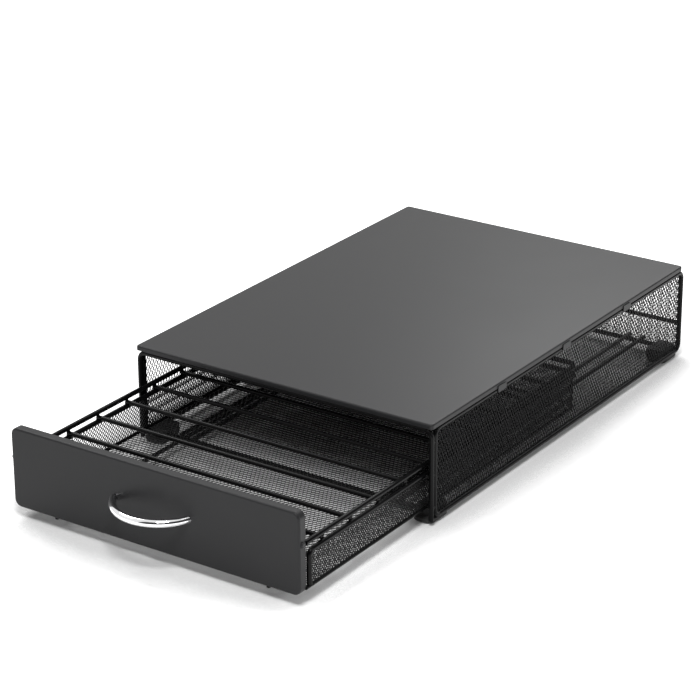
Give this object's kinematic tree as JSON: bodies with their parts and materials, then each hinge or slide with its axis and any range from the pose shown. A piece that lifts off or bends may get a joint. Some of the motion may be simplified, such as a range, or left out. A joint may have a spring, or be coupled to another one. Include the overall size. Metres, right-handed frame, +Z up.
{
  "type": "coffee pod drawer",
  "caption": "Low countertop stand with a flat sheet top, mesh walls and a pull-out mesh basket drawer for coffee capsules.",
  "frame": {"origin": "on the countertop, under the middle of the whole object with its drawer open as stored", "axes": "+Z up; +Y from the drawer front towards the back; +X to the right seen from the front"},
  "size_m": [0.3036, 0.6338, 0.0908],
  "materials": {
    "black_sheet": "satin black powder coat",
    "black_wire": "satin black powder coat",
    "black_mesh": "satin black powder coat",
    "bright_handle": "polished chrome plate",
    "zinc_screw": "bright zinc plate",
    "foot_rubber": "matt black rubber"
  },
  "bodies": {
    "cabinet": {"top_panel": "black_sheet", "top_clips": "black_sheet", "side_frame_left": "black_wire", "side_frame_right": "black_wire", "front_arch": "black_wire", "front_bottom_bar": "black_wire", "back_bottom_bar": "black_wire", "back_middle_bar": "black_wire", "back_top_bar": "black_wire", "side_mesh_left": "black_mesh", "side_mesh_right": "black_mesh", "back_mesh": "black_mesh", "rail_left_inner": "black_wire", "rail_left_outer": "black_wire", "rail_right_inner": "black_wire", "rail_right_outer": "black_wire", "foot_front_left": "foot_rubber", "foot_front_right": "foot_rubber", "foot_rear_left": "foot_rubber", "foot_rear_right": "foot_rubber"},
    "drawer": {"drawer_front": "black_sheet", "handle": "bright_handle", "handle_screws": "zinc_screw", "front_rivets": "black_sheet", "rim_rod_upper": "black_wire", "rim_rod_lower": "black_wire", "bottom_rod": "black_wire", "front_cross_wire": "black_wire", "glide_wire_left": "black_wire", "glide_wire_right": "black_wire", "floor_mesh": "black_mesh", "basket_mesh_left": "black_mesh", "basket_mesh_right": "black_mesh", "basket_mesh_rear": "black_mesh", "row_wire_01": "black_wire", "row_wire_02": "black_wire", "row_wire_03": "black_wire", "row_wire_04": "black_wire", "row_wire_05": "black_wire", "row_wire_06": "black_wire", "row_wire_07": "black_wire", "row_wire_08": "black_wire", "row_wire_09": "black_wire", "row_wire_10": "black_wire"}
  },
  "joints": [
    {"name": "drawer_slide", "type": "slide", "parent": "cabinet", "child": "drawer", "axis": [0, -1, 0], "range_m": [-0.1725, 0.175]}
  ]
}
